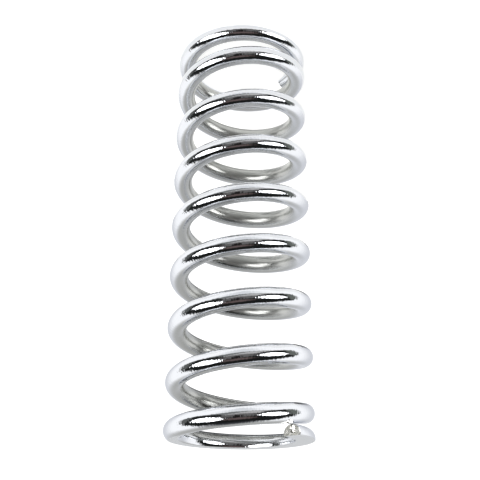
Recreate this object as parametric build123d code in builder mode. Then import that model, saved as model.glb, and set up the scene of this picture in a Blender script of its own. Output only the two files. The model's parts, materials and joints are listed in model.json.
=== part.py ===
"""Coilover spring: one length of round wire, wound right-handed, closed at both ends and ground flat.

The axis is +Z and the lower ground face lies in Z = 0. All lengths are in millimetres and all pitches in
millimetres a turn. A place along the wire is given in turns from the tip that it is measured from.
"""

import os
from math import cos, pi, radians, sin, tau

from build123d import *

# Sizes that such a spring is ordered by
inside_diameter = 63.5
wire_diameter = 11.4
free_length = 254.0
total_turns = 9.212

# Closed ends: each tip lies this far from the next turn's wire, and the coil opens from its tight pitch to
# its working pitch between two places
tip_gap = 0.2
lower_opens_at = 0.0
lower_open_by = 1.75
upper_opens_at = 0.45
upper_open_by = 1.2

# Grinding: the wire that is left at each tip, measured along the axis
lower_tip_thickness = 4.8
upper_tip_thickness = 6.1

# Where the lower tip stands about the axis, in degrees from +X
lower_tip_angle = 143.0

# Points that guide the centre line's curve through each turn
points_per_turn = 24

wire_radius = wire_diameter / 2
mean_radius = inside_diameter / 2 + wire_radius
# Height of each tip's centre line inside its ground face
lower_tip_depth = lower_tip_thickness - wire_radius
upper_tip_depth = upper_tip_thickness - wire_radius


def opened_turns(turns, opens_at, open_by):
    """Turns of full opening that a place has gathered: the opening grows along half a cosine wave."""
    share = min(max((turns - opens_at) / (open_by - opens_at), 0), 1)
    growing = (open_by - opens_at) * (share / 2 - sin(pi * share) / tau)
    return growing + max(turns - open_by, 0)


def tight_pitch(working_pitch, opens_at, open_by):
    """Pitch at a tip that lays the next turn tip_gap away from the tip."""
    opened = opened_turns(1, opens_at, open_by)
    return (wire_diameter + tip_gap - working_pitch * opened) / (1 - opened)


def climb(turns, working_pitch, opens_at, open_by):
    """Distance along the axis from a tip to a place, on the centre line."""
    pitch_at_tip = tight_pitch(working_pitch, opens_at, open_by)
    return pitch_at_tip * turns + (working_pitch - pitch_at_tip) * opened_turns(turns, opens_at, open_by)


def full_climb(working_pitch):
    """Distance along the axis from tip to tip, on the centre line."""
    lower_half = climb(total_turns / 2, working_pitch, lower_opens_at, lower_open_by)
    upper_half = climb(total_turns / 2, working_pitch, upper_opens_at, upper_open_by)
    return lower_half + upper_half


# The full climb grows evenly with the working pitch, so two values give the pitch that fills the length
climb_needed = free_length - lower_tip_depth - upper_tip_depth
climb_at_no_pitch = full_climb(0)
working_pitch = (climb_needed - climb_at_no_pitch) / (full_climb(1) - climb_at_no_pitch)


def centre_line(turns):
    """Point of the centre line at a place measured from the lower tip."""
    turns_left = total_turns - turns
    if turns < turns_left:
        height = lower_tip_depth + climb(turns, working_pitch, lower_opens_at, lower_open_by)
    else:
        height = free_length - upper_tip_depth - climb(turns_left, working_pitch, upper_opens_at, upper_open_by)
    angle = radians(lower_tip_angle) + tau * turns
    return (mean_radius * cos(angle), mean_radius * sin(angle), height)


spans = round(total_turns * points_per_turn)

with BuildPart() as coil_spring:
    with BuildLine() as wound:
        Spline(*[centre_line(total_turns * point / spans) for point in range(spans + 1)])
    winding = wound.wire()
    with BuildSketch(Plane(origin=winding @ 0, z_dir=winding % 0)):
        Circle(wire_radius)
    sweep(path=winding, is_frenet=True)
    # Both ends are ground square to the axis
    split(bisect_by=Plane.XY, keep=Keep.TOP)
    split(bisect_by=Plane.XY.offset(free_length), keep=Keep.BOTTOM)

coil_spring.part.label = "coil_spring"

os.makedirs("parts", exist_ok=True)
export_step(coil_spring.part, "parts/coil_spring.step")

print(f"working pitch {working_pitch:.2f} mm, wire length {winding.length:.0f} mm")
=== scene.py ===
"""A chromed coilover spring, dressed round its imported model.

The spring stands on its lower ground end, along +Z. Lengths are in metres unless a name says otherwise, and
a place along the wire is given in turns from the tip that it is measured from.
"""

import json
import logging
import math
from dataclasses import dataclass
from enum import Enum

import bmesh
import bpy
import numpy as np
from mathutils import Matrix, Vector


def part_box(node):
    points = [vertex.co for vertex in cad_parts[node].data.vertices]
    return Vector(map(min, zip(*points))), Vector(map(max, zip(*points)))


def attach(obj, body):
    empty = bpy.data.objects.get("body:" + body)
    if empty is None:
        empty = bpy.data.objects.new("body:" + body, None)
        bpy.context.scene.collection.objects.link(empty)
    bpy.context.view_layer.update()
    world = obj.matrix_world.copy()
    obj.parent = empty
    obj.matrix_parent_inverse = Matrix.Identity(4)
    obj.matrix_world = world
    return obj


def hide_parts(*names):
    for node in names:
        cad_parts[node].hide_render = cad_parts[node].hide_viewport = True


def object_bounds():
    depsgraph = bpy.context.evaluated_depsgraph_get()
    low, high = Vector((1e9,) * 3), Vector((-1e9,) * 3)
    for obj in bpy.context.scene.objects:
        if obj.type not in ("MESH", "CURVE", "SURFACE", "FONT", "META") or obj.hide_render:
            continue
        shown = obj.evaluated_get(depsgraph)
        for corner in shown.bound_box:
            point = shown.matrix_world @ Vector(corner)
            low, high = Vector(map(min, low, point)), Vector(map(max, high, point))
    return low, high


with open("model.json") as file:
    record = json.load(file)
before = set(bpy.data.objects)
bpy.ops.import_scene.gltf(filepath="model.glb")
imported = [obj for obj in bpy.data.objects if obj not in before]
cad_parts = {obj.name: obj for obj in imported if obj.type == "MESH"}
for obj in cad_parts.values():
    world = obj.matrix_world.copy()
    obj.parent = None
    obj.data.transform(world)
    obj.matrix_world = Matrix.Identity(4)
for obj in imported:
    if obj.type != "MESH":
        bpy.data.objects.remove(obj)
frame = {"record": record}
CAD_BOX = [list(corner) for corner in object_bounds()]

MILLIMETRE = 0.001
LOG = logging.getLogger("coilover_spring")
# The mesh's attribute that holds each point's place on the wire
WIRE_PLACE = "wire_place"
# The Mix node's sockets for colours, whose names its sockets for numbers have too
MIX_FIRST = 6
MIX_SECOND = 7
MIX_RESULT = 2

Tree = bpy.types.NodeTree
Node = bpy.types.Node
Socket = bpy.types.NodeSocket


class Face(Enum):
    """The kinds of surface on the spring, by their place in the mesh's material slots."""

    WIRE = 0
    GROUND = 1
    SHEARED = 2


class End(Enum):
    """The two ends of the spring."""

    LOWER = "lower"
    UPPER = "upper"


def linear(hex_colour: str, strength: float = 1.0) -> tuple[float, float, float, float]:
    """Turn an sRGB colour into Blender's linear one.

    Args:
        hex_colour: The colour as #RRGGBB.
        strength: What the linear colour is multiplied by.

    Returns:
        Red, green, blue and an alpha of 1.
    """
    shares = [int(hex_colour[start:start + 2], 16) / 255 for start in (1, 3, 5)]
    curve = [s / 12.92 if s <= 0.04045 else ((s + 0.055) / 1.055) ** 2.4 for s in shares]
    return (curve[0] * strength, curve[1] * strength, curve[2] * strength, 1.0)


def set_inputs(tree: Tree, node: Node, inputs: dict) -> None:
    """Give a node's inputs their values and links.

    Args:
        tree: The node's tree.
        node: The node.
        inputs: For each input's name or number, its value or the socket that feeds it.
    """
    for name, value in inputs.items():
        if isinstance(value, Socket):
            tree.links.new(value, node.inputs[name])
        else:
            node.inputs[name].default_value = value


def add_node(tree: Tree, kind: str, inputs: dict | None = None, **settings: object) -> Node:
    """Add a node to a tree, with its settings, values and links.

    Args:
        tree: The node tree.
        kind: Blender's name of the node's type.
        inputs: For each input's name or number, its value or the socket that feeds it.
        **settings: The node's own properties.

    Returns:
        The new node.
    """
    node = tree.nodes.new(kind)
    for name, value in settings.items():
        setattr(node, name, value)
    set_inputs(tree, node, inputs or {})
    return node


def math_node(tree: Tree, operation: str, *values: object) -> Socket:
    """Work out one step of arithmetic in a node tree.

    Args:
        tree: The node tree.
        operation: Blender's name of the step.
        *values: The numbers, or the sockets that give them.

    Returns:
        The result's socket.
    """
    return add_node(tree, "ShaderNodeMath", dict(enumerate(values)), operation=operation).outputs[0]


def part_along(tree: Tree, direction: Socket, axis: tuple[float, float, float]) -> Socket:
    """Measure the part of a direction that points along an axis.

    Args:
        tree: The node tree.
        direction: The direction's socket, of length 1.
        axis: The axis, of length 1.

    Returns:
        The part's socket: the cosine of the angle between the two.
    """
    inputs = {0: direction, 1: axis}
    return add_node(tree, "ShaderNodeVectorMath", inputs, operation="DOT_PRODUCT").outputs["Value"]


def fade(tree: Tree, value: Socket, none_at: float, full_at: float) -> Socket:
    """Go smoothly from 0 to 1 while a value goes from one limit to another.

    Args:
        tree: The node tree.
        value: The value's socket.
        none_at: The value up to which the result is 0.
        full_at: The value from which it is 1, above or below the other limit.

    Returns:
        The result's socket.
    """
    inputs = {"Value": value, "From Min": none_at, "From Max": full_at}
    return add_node(tree, "ShaderNodeMapRange", inputs, interpolation_type="SMOOTHSTEP").outputs["Result"]


def between(tree: Tree, share: Socket, low: float, high: float) -> Socket:
    """Go evenly from one value to another while a share goes from 0 to 1.

    Args:
        tree: The node tree.
        share: The share's socket.
        low: The result where the share is 0.
        high: The result where it is 1.

    Returns:
        The result's socket.
    """
    inputs = {"Value": share, "To Min": low, "To Max": high}
    return add_node(tree, "ShaderNodeMapRange", inputs).outputs["Result"]


def blend(tree: Tree, first: object, second: object, share: Socket) -> Socket:
    """Go from one colour to another while a share goes from 0 to 1.

    Args:
        tree: The node tree.
        first: The colour where the share is 0, or the socket that gives it.
        second: The colour where it is 1, or the socket that gives it.
        share: The share's socket.

    Returns:
        The colour's socket.
    """
    inputs = {"Factor": share, MIX_FIRST: first, MIX_SECOND: second}
    return add_node(tree, "ShaderNodeMix", inputs, data_type="RGBA").outputs[MIX_RESULT]


def noise(tree: Tree, place: Socket, step_mm: float, detail: float) -> Socket:
    """Add smooth noise.

    Args:
        tree: The node tree.
        place: The coordinates' socket.
        step_mm: Distance from one lump of the noise to the next, about.
        detail: How many finer layers the noise has.

    Returns:
        The noise's socket, with values from 0 to 1.
    """
    inputs = {"Vector": place, "Scale": 1 / (step_mm * MILLIMETRE), "Detail": detail}
    return add_node(tree, "ShaderNodeTexNoise", inputs).outputs["Fac"]


def bump(tree: Tree, height: Socket, depth_mm: float, strength: object = 1.0,
         normal: Socket | None = None) -> Socket:
    """Tilt the surface as if it were raised by a height.

    Args:
        tree: The node tree.
        height: The height's socket.
        depth_mm: How far a height of 1 raises the surface.
        strength: The bump's share of its full effect, or the socket that gives it.
        normal: The socket of the normal that the bump starts from, where it isn't the mesh's own.

    Returns:
        The normal's socket.
    """
    inputs = {"Height": height, "Distance": depth_mm * MILLIMETRE, "Strength": strength}
    if normal is not None:
        inputs["Normal"] = normal
    return add_node(tree, "ShaderNodeBump", inputs).outputs["Normal"]


def new_material(name: str) -> tuple[bpy.types.Material, Tree, Node]:
    """Make a material with Blender's own shader in it.

    Args:
        name: The material's name.

    Returns:
        The material, its node tree and its shader.
    """
    material = bpy.data.materials.new(name)
    material.use_nodes = True
    tree = material.node_tree
    return material, tree, tree.nodes["Principled BSDF"]


@dataclass(frozen=True)
class BrightChrome:
    """Decorative chromium over nickel on wound wire, polished where a wheel reaches.

    The outside of the coil was buffed before plating, so it is a mirror, a little ragged from marks that run
    round the wire. The inside wasn't, so it stays satin, with a darker, warmer colour as painted shade.
    """

    polished_colour: str = "#DADCE0"
    # The inside's darker, warmer colour is painted shade inside the coil
    satin_painted_shade_colour: str = "#BABBB8"
    polished_roughness: float = 0.04
    satin_roughness: float = 0.28
    # The polish gives way to satin and painted shade between these two distances
    # from the wire's centre line, outward from the coil's axis
    fades_from_mm: float = -0.5
    fades_to_mm: float = -4.8
    # The inside is polished and free of its painted shade as far as this from each end of the coil,
    # and fades over this much each way
    end_polish_unshaded_mm: float = 4.6
    end_fade_mm: float = 1.2
    mark_width_mm: float = 1.0
    mark_length_mm: float = 2.8
    mark_depth_mm: float = 0.095
    flow_length_mm: float = 9.0
    flow_depth_mm: float = 0.035
    noise_detail: float = 1.0

    def satin_and_painted_shade_share(self, tree: Tree, place: Socket, mean_radius: float, length: float) -> Socket:
        """Work out how satin the chrome is at a point, and so how much painted shade its colour takes.

        Args:
            tree: The material's node tree.
            place: The point's coordinates.
            mean_radius: Radius of the wire's centre line about the coil's axis.
            length: The coil's length, along +Z from 0.

        Returns:
            The share's socket: 1 inside the coil and away from its ends, and 0 elsewhere.
        """
        flat = add_node(tree, "ShaderNodeVectorMath", {0: place, 1: (1.0, 1.0, 0.0)}, operation="MULTIPLY")
        from_axis = add_node(tree, "ShaderNodeVectorMath", {0: flat.outputs[0]}, operation="LENGTH")
        inside = fade(tree, from_axis.outputs["Value"], mean_radius + self.fades_from_mm * MILLIMETRE,
                      mean_radius + self.fades_to_mm * MILLIMETRE)
        height = add_node(tree, "ShaderNodeSeparateXYZ", {0: place}).outputs["Z"]
        from_middle = math_node(tree, "ABSOLUTE", math_node(tree, "SUBTRACT", height, length / 2))
        polish_from = length / 2 - self.end_polish_unshaded_mm * MILLIMETRE
        away = fade(tree, from_middle, polish_from + self.end_fade_mm * MILLIMETRE,
                    polish_from - self.end_fade_mm * MILLIMETRE)
        return math_node(tree, "MULTIPLY", inside, away)

    def material(self, mean_radius: float, length: float) -> bpy.types.Material:
        """Make the material: polish fades to satin and painted shade inside, over long waves and marks.

        The marks are noise on the wire's own coordinates, with those about its centre squeezed, so that each
        mark is longer round the wire than along it.

        Args:
            mean_radius: Radius of the wire's centre line about the coil's axis.
            length: The coil's length, along +Z from 0.

        Returns:
            The material.
        """
        material, tree, shader = new_material("bright_chrome")
        place = add_node(tree, "ShaderNodeTexCoord").outputs["Object"]
        # The satin share also darkens the colour inside the coil as painted shade
        satin = self.satin_and_painted_shade_share(tree, place, mean_radius, length)
        flow = bump(tree, noise(tree, place, self.flow_length_mm, self.noise_detail), self.flow_depth_mm)
        on_wire = add_node(tree, "ShaderNodeAttribute", attribute_name=WIRE_PLACE).outputs["Vector"]
        squeeze = self.mark_width_mm / self.mark_length_mm
        squeezed = add_node(tree, "ShaderNodeVectorMath", {0: on_wire, 1: (1.0, squeeze, squeeze)},
                            operation="MULTIPLY").outputs["Vector"]
        marks = bump(tree, noise(tree, squeezed, self.mark_width_mm, self.noise_detail), self.mark_depth_mm,
                     math_node(tree, "SUBTRACT", 1.0, satin), flow)
        set_inputs(tree, shader, {
            # Darker inside the coil: painted shade
            "Base Color": blend(tree, linear(self.polished_colour), linear(self.satin_painted_shade_colour), satin),
            "Metallic": 1.0,
            "Roughness": between(tree, satin, self.polished_roughness, self.satin_roughness),
            "Normal": marks,
        })
        return material


@dataclass(frozen=True)
class GroundChrome:
    """Chromium over a surface-ground steel face: satin, with the wheel's fine grain."""

    colour: str = "#F7F9FC"
    roughness: float = 0.36
    roughness_spread: float = 0.1
    grain_mm: float = 0.5
    grain_depth_mm: float = 0.035
    grain_detail: float = 3.0

    def material(self) -> bpy.types.Material:
        """Make the material: a duller metal with grain in its bump and its roughness.

        Returns:
            The material.
        """
        material, tree, shader = new_material("ground_chrome")
        place = add_node(tree, "ShaderNodeTexCoord").outputs["Object"]
        grain = noise(tree, place, self.grain_mm, self.grain_detail)
        set_inputs(tree, shader, {
            "Base Color": linear(self.colour),
            "Metallic": 1.0,
            "Roughness": between(tree, grain, self.roughness - self.roughness_spread,
                                 self.roughness + self.roughness_spread),
            "Normal": bump(tree, grain, self.grain_depth_mm),
        })
        return material


@dataclass(frozen=True)
class ShearedChrome:
    """Chromium over the torn face that the cropping blade leaves: bright, with dents and small facets."""

    colour: str = "#ECEAE2"
    roughness: float = 0.12
    dent_mm: float = 4.0
    dent_depth_mm: float = 0.15

    def material(self) -> bpy.types.Material:
        """Make the material: a metal with broad, faceted dents.

        Returns:
            The material.
        """
        material, tree, shader = new_material("sheared_chrome")
        place = add_node(tree, "ShaderNodeTexCoord").outputs["Object"]
        dents = add_node(tree, "ShaderNodeTexVoronoi",
                         {"Vector": place, "Scale": 1 / (self.dent_mm * MILLIMETRE)}, feature="SMOOTH_F1")
        set_inputs(tree, shader, {
            "Base Color": linear(self.colour),
            "Metallic": 1.0,
            "Roughness": self.roughness,
            "Normal": bump(tree, dents.outputs["Distance"], self.dent_depth_mm),
        })
        return material


@dataclass(frozen=True)
class ClosedEnd:
    """How one end of the coil closes and how far its tip is ground.

    The pitch grows along half a cosine wave between two places, in turns from the tip.
    """

    opens_at: float
    open_by: float
    tip_thickness: float

    def opened_turns(self, turns: np.ndarray) -> np.ndarray:
        """Turns of full opening that places have gathered: the integral of half a cosine wave, then of 1.

        Args:
            turns: Places, in turns from the tip.

        Returns:
            The opened turns at each place.
        """
        span = self.open_by - self.opens_at
        share = np.clip((turns - self.opens_at) / span, 0.0, 1.0)
        growing = span * (share / 2 - np.sin(np.pi * share) / math.tau)
        return growing + np.maximum(turns - self.open_by, 0.0)

    def climb(self, turns: np.ndarray, working_pitch: float, first_turn_rise: float) -> np.ndarray:
        """Rise along the axis from the tip.

        The rise is the tight pitch times the turns, plus the rest of the pitch times the opened turns. The
        tight pitch is what gives the first turn its rise.

        Args:
            turns: Places, in turns from the tip.
            working_pitch: Pitch of the open coil.
            first_turn_rise: Rise of the first whole turn.

        Returns:
            The rise at each place.
        """
        opened = self.opened_turns(np.array([1.0]))[0]
        tight_pitch = (first_turn_rise - working_pitch * opened) / (1 - opened)
        return tight_pitch * turns + (working_pitch - tight_pitch) * self.opened_turns(turns)


@dataclass
class CoilSpring:
    """The spring: one wire wound right-handed, closed at both ends and ground flat.

    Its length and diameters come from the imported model, and what the model's box doesn't tell is given here.
    """

    node: str = "coil_spring"
    total_turns: float = 9.212
    lower_tip_angle: float = math.radians(143.0)
    tip_gap: float = 0.2 * MILLIMETRE
    lower: ClosedEnd = ClosedEnd(0.0, 1.75, 4.8 * MILLIMETRE)
    upper: ClosedEnd = ClosedEnd(0.45, 1.2, 6.1 * MILLIMETRE)
    # Width of the flat that breaks each ground face's edges
    edge_break: float = 0.25 * MILLIMETRE
    # The sheared tips: one wave across the face, and a weaker one along the axis that is shifted, in radians
    tip_wave: float = 4.8 * MILLIMETRE
    tip_relief: float = 0.18 * MILLIMETRE
    axial_share: float = 0.4
    axial_shift: float = 1.0
    # The mesh: steps along a turn, points up each side of a section and across each of its straights, with
    # the straight's ends, and rings in a tip's face, with its outline
    steps_per_turn: int = 128
    side_points: int = 27
    flat_points: int = 6
    tip_rings: int = 9
    # Points closer than this are merged, and edges that turn by more than this are hard
    merge_within: float = 0.002 * MILLIMETRE
    hard_beyond: float = math.radians(28.0)

    def __post_init__(self) -> None:
        """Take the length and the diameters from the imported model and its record."""
        low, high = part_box(self.node)
        guide = next(mount for mount in frame["record"]["mounts"] if mount["name"] == "inner_guide")
        self.length = high.z - low.z
        self.inside_radius = guide["dims"]["r_mm"] * MILLIMETRE
        self.wire_radius = ((high.x - low.x) / 2 - self.inside_radius) / 2
        self.mean_radius = self.inside_radius + self.wire_radius
        self.lower_tip_depth = self.lower.tip_thickness - self.wire_radius
        self.upper_tip_depth = self.upper.tip_thickness - self.wire_radius
        self.first_turn_rise = 2 * self.wire_radius + self.tip_gap
        self.working_pitch = self.pitch_that_fills_the_length()

    def full_climb(self, working_pitch: float) -> float:
        """Work out the rise from tip to tip.

        Args:
            working_pitch: Pitch of the open coil.

        Returns:
            The rise of the centre line.
        """
        half = np.array([self.total_turns / 2])
        ends = [end.climb(half, working_pitch, self.first_turn_rise)[0] for end in (self.lower, self.upper)]
        return float(sum(ends))

    def pitch_that_fills_the_length(self) -> float:
        """Work out the pitch for the free length: the rise grows evenly with it, so two values are enough.

        Returns:
            Pitch of the open coil.
        """
        needed = self.length - self.lower_tip_depth - self.upper_tip_depth
        at_none = self.full_climb(0.0)
        return (needed - at_none) / (self.full_climb(1.0) - at_none)

    def heights(self, turns: np.ndarray) -> np.ndarray:
        """Work out the centre line's height.

        Args:
            turns: Places, in turns from the lower tip.

        Returns:
            The height at each place.
        """
        left = self.total_turns - turns
        rising = self.lower.climb(turns, self.working_pitch, self.first_turn_rise)
        falling = self.upper.climb(left, self.working_pitch, self.first_turn_rise)
        return np.where(turns < left, self.lower_tip_depth + rising,
                        self.length - self.upper_tip_depth - falling)

    def stations(self) -> tuple[np.ndarray, np.ndarray, np.ndarray, np.ndarray]:
        """Place the steps along the wire.

        The centre line is (R cos a, R sin a, z). Outward is (cos a, sin a, 0), forward is the line's tangent,
        and upward is outward crossed with forward.

        Returns:
            The centre and the outward, upward and forward vectors at each step.
        """
        turns = np.linspace(0.0, self.total_turns, round(self.total_turns * self.steps_per_turn) + 1)
        angle = self.lower_tip_angle + math.tau * turns
        cosine, sine, flat = np.cos(angle), np.sin(angle), np.zeros_like(angle)
        height = self.heights(turns)
        centre = np.stack([self.mean_radius * cosine, self.mean_radius * sine, height], axis=1)
        outward = np.stack([cosine, sine, flat], axis=1)
        slope = np.gradient(height, angle) / self.mean_radius
        forward = np.stack([-sine, cosine, slope], axis=1)
        forward /= np.linalg.norm(forward, axis=1, keepdims=True)
        upward = np.cross(outward, forward)
        return centre, outward, upward, forward

    def cut(self, level: float, centre: np.ndarray,
            upward: np.ndarray) -> tuple[np.ndarray, np.ndarray, np.ndarray]:
        """Find where a grinding plane cuts the wire's circle at each step.

        Args:
            level: Height of the plane.
            centre: The circles' centres.
            upward: The circles' upward vectors.

        Returns:
            The sine of the cut's angle up the circle, half the cut's length and the break of its corners.
        """
        sine = np.clip((level - centre[:, 2]) / (self.wire_radius * upward[:, 2]), -1.0, 1.0)
        half = self.wire_radius * np.sqrt(1 - sine ** 2)
        return sine, half, np.minimum(self.edge_break, half / 2)

    def sections(self, centre: np.ndarray, upward: np.ndarray) -> tuple[np.ndarray, np.ndarray]:
        """Outline the wire at each step.

        The outline is a circle cut by the two grinding planes: an arc up the outer side, a straight top, an
        arc down the inner side and a straight bottom. Each cut's corners are broken by a small flat. Where a
        plane misses the circle, its straight has no length.

        Args:
            centre: The steps' centres.
            upward: Their upward vectors.

        Returns:
            The outlines' sideways and upward distances from the centres, a row for each step.
        """
        radius = self.wire_radius
        low_sine, low_half, low_break = self.cut(0.0, centre, upward)
        high_sine, high_half, high_break = self.cut(self.length, centre, upward)
        start = np.arcsin(low_sine) + low_break / radius
        stop = np.arcsin(high_sine) - high_break / radius
        angles = start[:, None] + (stop - start)[:, None] * np.linspace(0.0, 1.0, self.side_points)
        outer_arc = radius * np.cos(angles)
        arc_height = radius * np.sin(angles)
        across = np.linspace(1.0, -1.0, self.flat_points)
        top = (high_half - high_break)[:, None] * across
        bottom = (low_half - low_break)[:, None] * across
        top_height = np.repeat((radius * high_sine)[:, None], self.flat_points, axis=1)
        bottom_height = np.repeat((radius * low_sine)[:, None], self.flat_points, axis=1)
        sideways = np.concatenate([outer_arc, top, -outer_arc[:, ::-1], -bottom], axis=1)
        heights = np.concatenate([arc_height, top_height, arc_height[:, ::-1], bottom_height], axis=1)
        return sideways, heights

    def face_kinds(self) -> np.ndarray:
        """Tell the faces round a section apart: the wire all round, but ground on both straights.

        Returns:
            The value of each face's kind.
        """
        kinds = np.full(2 * (self.side_points + self.flat_points), Face.WIRE.value)
        for arcs in (1, 2):
            first = arcs * self.side_points + (arcs - 1) * self.flat_points
            kinds[first:first + self.flat_points - 1] = Face.GROUND.value
        return kinds

    def tip(self, ring: np.ndarray, outward: np.ndarray, forward: np.ndarray, end: End) -> np.ndarray:
        """Place the points of a tip's face: the outline drawn in to its middle, with a sheared face's relief.

        The relief is a wave across the face plus a weaker one along the axis, and fades out to the outline.

        Args:
            ring: The outline's points.
            outward: Direction away from the coil's axis.
            forward: Direction of the wire.
            end: The end that the tip belongs to.

        Returns:
            The rings' points, from the outer ring in, then the middle.
        """
        middle = ring.mean(axis=0)
        shares = np.linspace(1.0, 0.0, self.tip_rings + 1)[1:-1]
        points = middle + shares[:, None, None] * (ring - middle)[None]
        spread = points - middle
        wave = math.tau / self.tip_wave
        across = np.cos(wave * (spread @ outward))
        axial = self.axial_share * np.sin(wave * spread[..., 2] + self.axial_shift)
        depth = self.tip_relief * (across + axial) * (1 - shares ** 2)[:, None]
        outwards = forward if end is End.UPPER else -forward
        return np.concatenate([(points + depth[..., None] * outwards).reshape(-1, 3), middle[None]])

    def tip_faces(self, outline: np.ndarray, first: int, end: End) -> tuple[np.ndarray, np.ndarray]:
        """List the faces of a tip: from ring to ring, and then round its middle.

        Args:
            outline: Numbers of the outline's points.
            first: Number of the first point inside it.
            end: The end that the tip belongs to.

        Returns:
            The four-sided faces and the three-sided ones, all facing away from the wire.
        """
        around = len(outline)
        middle = first + (self.tip_rings - 1) * around
        rings = np.concatenate([outline[None], np.arange(first, middle).reshape(-1, around)])
        turned = np.roll(rings, -1, axis=1)
        quads = np.stack([rings[:-1], turned[:-1], turned[1:], rings[1:]], axis=-1).reshape(-1, 4)
        triangles = np.stack([rings[-1], turned[-1], np.full(around, middle)], axis=-1)
        if end is End.UPPER:
            return quads[:, ::-1], triangles[:, ::-1]
        return quads, triangles

    def build(self) -> bpy.types.Object:
        """Build the spring as one closed mesh.

        A vertex is the centre line's point plus the outline's distances along outward and upward.

        Returns:
            The spring.
        """
        centre, outward, upward, forward = self.stations()
        sideways, heights = self.sections(centre, upward)
        wall = centre[:, None] + sideways[..., None] * outward[:, None] + heights[..., None] * upward[:, None]
        steps, around = sideways.shape
        numbers = np.arange(steps * around).reshape(steps, around)
        beside = np.roll(numbers, -1, axis=1)
        walls = np.stack([numbers[:-1], numbers[1:], beside[1:], beside[:-1]], axis=-1).reshape(-1, 4)
        points, quads, triangles = [wall.reshape(-1, 3)], [walls], []
        first = steps * around
        for row, end in ((0, End.LOWER), (-1, End.UPPER)):
            face = self.tip(wall[row], outward[row], forward[row], end)
            sheet, fan = self.tip_faces(numbers[row], first, end)
            points.append(face)
            quads.append(sheet)
            triangles.append(fan)
            first += len(face)
        quads, triangles = np.concatenate(quads), np.concatenate(triangles)
        sheared = np.full(len(quads) + len(triangles) - len(walls), Face.SHEARED.value)
        kinds = np.concatenate([np.tile(self.face_kinds(), steps - 1), sheared])
        mesh = bpy.data.meshes.new("wound_wire")
        mesh.from_pydata(np.concatenate(points).tolist(), [], quads.tolist() + triangles.tolist())
        mesh.polygons.foreach_set("material_index", kinds)
        self.store_places(mesh, centre, sideways, heights)
        self.close_seams(mesh)
        piece = bpy.data.objects.new("wound_wire", mesh)
        bpy.context.scene.collection.objects.link(piece)
        return piece

    @staticmethod
    def store_places(mesh: bpy.types.Mesh, centre: np.ndarray, sideways: np.ndarray,
                     heights: np.ndarray) -> None:
        """Store each point's place on the wire: the length run so far and its two distances from the centre.

        The length is the running sum of the distances from step to step. The tips' points come last in the
        mesh and keep zeros.

        Args:
            mesh: The spring's mesh, before any points are merged.
            centre: The steps' centres.
            sideways: The outlines' sideways distances from the centres.
            heights: Their upward distances.
        """
        length = np.concatenate([[0.0], np.cumsum(np.linalg.norm(np.diff(centre, axis=0), axis=1))])
        lengths = np.repeat(length[:, None], sideways.shape[1], axis=1)
        places = np.zeros((len(mesh.vertices), 3))
        places[:sideways.size] = np.stack([lengths, sideways, heights], axis=2).reshape(-1, 3)
        attribute = mesh.attributes.new(WIRE_PLACE, "FLOAT_VECTOR", "POINT")
        attribute.data.foreach_set("vector", places.ravel())

    def close_seams(self, mesh: bpy.types.Mesh) -> None:
        """Merge the points that coincide where a straight has no length, and smooth all but the hard edges.

        Args:
            mesh: The spring's mesh.
        """
        shape = bmesh.new()
        shape.from_mesh(mesh)
        bmesh.ops.remove_doubles(shape, verts=shape.verts, dist=self.merge_within)
        shape.to_mesh(mesh)
        shape.free()
        mesh.shade_smooth()
        mesh.set_sharp_from_angle(angle=self.hard_beyond)

    def dress(self, piece: bpy.types.Object) -> None:
        """Give the piece its finishes, in the order of Face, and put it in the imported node's place.

        Args:
            piece: The spring.
        """
        for material in (BrightChrome().material(self.mean_radius, self.length), GroundChrome().material(),
                         ShearedChrome().material()):
            piece.data.materials.append(material)
        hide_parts(self.node)
        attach(piece, "root")


@dataclass(frozen=True)
class Patch:
    """A patch of the studio as the spring sees it, by the angles that it covers, in degrees.

    Sideways grows towards +X and raised towards +Z, both from the camera's direction. The lean is how far
    sideways the patch moves for each degree that it rises, and the taper is the share by which it narrows
    from its middle to its top. The corners are rounder the lower the power is, and 2 makes an ellipse.
    """

    sideways: tuple[float, float]
    raised: tuple[float, float]
    colour: str
    glow: float = 1.0
    softness: float = 3.0
    lean: float = 0.0
    taper: float = 0.0
    power: float = 2.0

    def mask(self, tree: Tree, sideways: Socket, raised: Socket) -> Socket:
        """Add the patch's mask: 1 where the powers of the shares across and up add up to less than 1.

        Args:
            tree: The world's node tree.
            sideways: A direction's sideways angle.
            raised: Its raised angle.

        Returns:
            The mask's socket, soft at the patch's edge.
        """
        middle_across, half_across = sum(self.sideways) / 2, (self.sideways[1] - self.sideways[0]) / 2
        middle_up, half_up = sum(self.raised) / 2, (self.raised[1] - self.raised[0]) / 2
        up = math_node(tree, "DIVIDE", math_node(tree, "SUBTRACT", raised, middle_up), half_up)
        middle = math_node(tree, "MULTIPLY_ADD", up, self.lean * half_up, middle_across)
        half = math_node(tree, "MULTIPLY_ADD", up, -self.taper * half_across, half_across)
        across = math_node(tree, "DIVIDE", math_node(tree, "SUBTRACT", sideways, middle), half)
        powers = [math_node(tree, "POWER", math_node(tree, "ABSOLUTE", share), self.power)
                  for share in (across, up)]
        reach = math_node(tree, "POWER", math_node(tree, "ADD", *powers), 1 / self.power)
        edge = self.softness / (2 * half_up)
        return fade(tree, reach, 1 + edge, 1 - edge)


@dataclass(frozen=True)
class Shade:
    """A round, soft part of the tent that sends less light, in degrees.

    Its middle stands raised above the level line behind the spring, so 90 is straight up.
    """

    raised: float
    full_within: float
    none_beyond: float
    colour: str

    def mask(self, tree: Tree, direction: Socket) -> Socket:
        """Add the shade's mask: 1 near its middle, 0 far from it.

        Args:
            tree: The world's node tree.
            direction: The direction that is looked in.

        Returns:
            The mask's socket.
        """
        raised, full_within, none_beyond = (
            math.radians(angle) for angle in (self.raised, self.full_within, self.none_beyond))
        near = part_along(tree, direction, (0.0, math.cos(raised), math.sin(raised)))
        return fade(tree, near, math.cos(none_beyond), math.cos(full_within))


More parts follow.
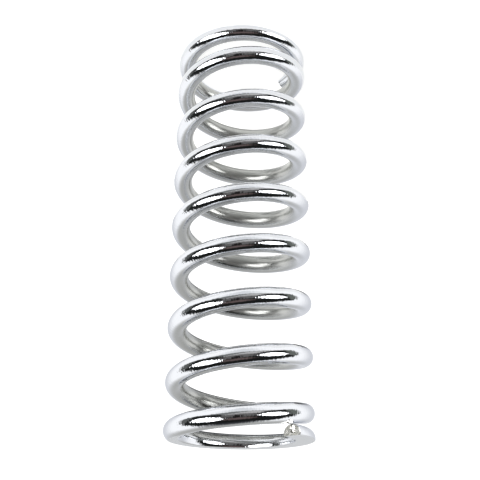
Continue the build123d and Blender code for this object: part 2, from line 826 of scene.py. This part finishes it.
@dataclass(frozen=True)
class Studio:
    """A white tent, dark round the camera, with two softboxes in the dark and a pale table.

    The table ends just in front of the spring, so the spring's front sees the tent below the camera too.
    """

    tent: tuple[str, float] = ("#FFFFFF", 1.32)
    shades: tuple[Shade, ...] = (
        # The wall behind the spring, a little cooler than the rest, and its upper part
        Shade(-10.0, 20.0, 68.0, "#E3E5EA"),
        Shade(46.0, 5.0, 45.0, "#BDBDB9"),
        # The gap in the tent's roof, and the dark under the wall
        Shade(98.0, 12.0, 42.0, "#343638"),
        Shade(-45.0, 13.0, 30.0, "#2E2F2F"),
    )
    camera_raised: float = 22.5
    room: tuple[Patch, ...] = (
        # The tent below the camera
        Patch((-50.0, 45.0), (-110.0, -30.0), "#F6F8FA", softness=50.0),
        # The opening that the camera looks in by: its grey rim and the paler cloth inside that
        Patch((-106.0, 100.0), (-50.0, 37.0), "#868887", softness=5.0, power=1.5),
        Patch((-88.0, 38.0), (-43.0, 40.0), "#CBCAC9", softness=5.0, power=1.5),
        # The dark room in the opening, above and round each softbox
        Patch((-89.0, 80.0), (-20.0, 60.0), "#1E201F", softness=4.0, taper=0.2, power=14.0),
        Patch((-95.0, -36.0), (-31.0, 30.0), "#262827", softness=3.5, power=5.0),
        Patch((22.0, 86.0), (-31.0, 34.0), "#262827", softness=3.5, power=5.0),
        # Its greyer edges at both sides
        Patch((-103.0, -84.0), (-26.0, 12.0), "#737772", softness=4.0, power=5.0),
        Patch((78.0, 94.0), (-22.0, 15.0), "#686A68", softness=4.0, power=5.0),
        # What stands in the middle of it, low and high, and the camera
        Patch((-31.0, 24.0), (-26.0, 8.0), "#757372", softness=16.0),
        Patch((-27.0, 18.0), (12.0, 34.0), "#6C5E5C", softness=12.0),
        Patch((-9.0, 7.0), (-15.0, 14.0), "#262323", softness=5.0),
        # The two softboxes
        Patch((-79.0, -34.0), (-14.5, 15.0), "#FFFFFF", 5.0, 3.0, power=1.7),
        Patch((20.0, 67.0), (-10.5, 27.0), "#FFFFFF", 5.0, 3.0, -0.5, power=1.7),
    )
    table_half_width: float = 0.2
    table_in_front: float = 0.1
    table_colour: str = "#D8D8D5"
    table_glow: float = 0.7

    def camera_angles(self, tree: Tree, direction: Socket) -> tuple[Socket, Socket]:
        """Measure a direction from the camera's, as the patches need it.

        Args:
            tree: The world's node tree.
            direction: The direction that is looked in.

        Returns:
            The direction's sideways and raised angles, in degrees.
        """
        tilt = math.radians(self.camera_raised)
        toward = (0.0, -math.cos(tilt), math.sin(tilt))
        upright = (0.0, math.sin(tilt), math.cos(tilt))
        across, ahead, up = (part_along(tree, direction, axis) for axis in ((1.0, 0.0, 0.0), toward, upright))
        degrees = math.degrees(1.0)
        sideways = math_node(tree, "MULTIPLY", math_node(tree, "ARCTAN2", across, ahead), degrees)
        raised = math_node(tree, "MULTIPLY", math_node(tree, "ARCSINE", up), degrees)
        return sideways, raised

    def build_world(self) -> None:
        """Make the world's light, which the camera itself sees as plain white."""
        world = bpy.data.worlds.new("studio")
        bpy.context.scene.world = world
        world.use_nodes = True
        tree = world.node_tree
        direction = add_node(tree, "ShaderNodeTexCoord").outputs["Generated"]
        sideways, raised = self.camera_angles(tree, direction)
        seen = linear(*self.tent)
        for shade in self.shades:
            seen = blend(tree, seen, linear(shade.colour), shade.mask(tree, direction))
        for patch in self.room:
            seen = blend(tree, seen, linear(patch.colour, patch.glow), patch.mask(tree, sideways, raised))
        by_camera = add_node(tree, "ShaderNodeLightPath").outputs["Is Camera Ray"]
        background = blend(tree, seen, linear(*self.tent), by_camera)
        tree.links.new(background, tree.nodes["Background"].inputs["Color"])

    def build_table(self, height: float) -> None:
        """Lay the pale table under the spring: matt, and glowing a little so that it stays pale.

        Args:
            height: Height of its top.
        """
        half, front = self.table_half_width, -self.table_in_front
        mesh = bpy.data.meshes.new("table")
        corners = [(-half, front, height), (half, front, height), (half, half, height), (-half, half, height)]
        mesh.from_pydata(corners, [], [(0, 1, 2, 3)])
        table = bpy.data.objects.new("table", mesh)
        bpy.context.scene.collection.objects.link(table)
        material, tree, shader = new_material("matt_white")
        set_inputs(tree, shader, {
            "Base Color": linear(self.table_colour),
            "Roughness": 1.0,
            "Specular IOR Level": 0.0,
            "Emission Color": linear("#FFFFFF"),
            "Emission Strength": self.table_glow,
        })
        mesh.materials.append(material)


@dataclass(frozen=True)
class Viewpoint:
    """The photograph's view: along the spring from above its upper end, with that end low in the picture.

    Lengths in mm, angles in degrees. The camera is fitted to the outline of the turns in the photograph.
    """

    aside_mm: float = -11.1
    in_front_mm: float = 431.1
    above_upper_tip_mm: float = 54.23
    dip: float = 22.243
    turn: float = 1.518
    roll: float = -0.437
    focal_pixels: float = 743.0
    picture_pixels: float = 480.0
    sensor_mm: float = 36.0
    sees_to_metres: float = 200.0

    def build(self, tip_height: float) -> None:
        """Place the camera.

        Args:
            tip_height: Height of the upper tip's centre, which the camera's height is measured from.
        """
        dip, turn, roll = (math.radians(angle) for angle in (self.dip, self.turn, self.roll))
        forward = np.array([math.sin(turn) * math.cos(dip), math.cos(turn) * math.cos(dip), -math.sin(dip)])
        level = np.array([-math.cos(turn), math.sin(turn), 0.0])
        down = np.cross(forward, level)
        right = math.cos(roll) * level + math.sin(roll) * down
        up = np.cross(right, forward)
        data = bpy.data.cameras.new("camera")
        data.sensor_width = self.sensor_mm
        data.lens = self.focal_pixels / self.picture_pixels * self.sensor_mm
        data.clip_end = self.sees_to_metres
        camera = bpy.data.objects.new("camera", data)
        place = np.array([self.aside_mm, -self.in_front_mm, self.above_upper_tip_mm]) * MILLIMETRE
        place[2] += tip_height
        turned = np.eye(4)
        turned[:3, 0], turned[:3, 1], turned[:3, 2], turned[:3, 3] = right, up, -forward, place
        camera.matrix_world = Matrix(turned.tolist())
        bpy.context.scene.collection.objects.link(camera)
        bpy.context.scene.camera = camera


def main() -> None:
    """Build the spring and its studio."""
    logging.basicConfig(level=logging.INFO, format="%(name)s: %(message)s")
    scene = bpy.context.scene
    scene.view_settings.view_transform = "Standard"
    spring = CoilSpring()
    piece = spring.build()
    spring.dress(piece)
    LOG.info("%s: %d faces, working pitch %.2f mm", piece.name, len(piece.data.polygons),
             spring.working_pitch / MILLIMETRE)
    studio = Studio()
    studio.build_world()
    studio.build_table(CAD_BOX[0][2])
    Viewpoint().build(spring.length - spring.upper_tip_depth)
    bpy.context.view_layer.update()


if __name__ == "__main__":
    main()
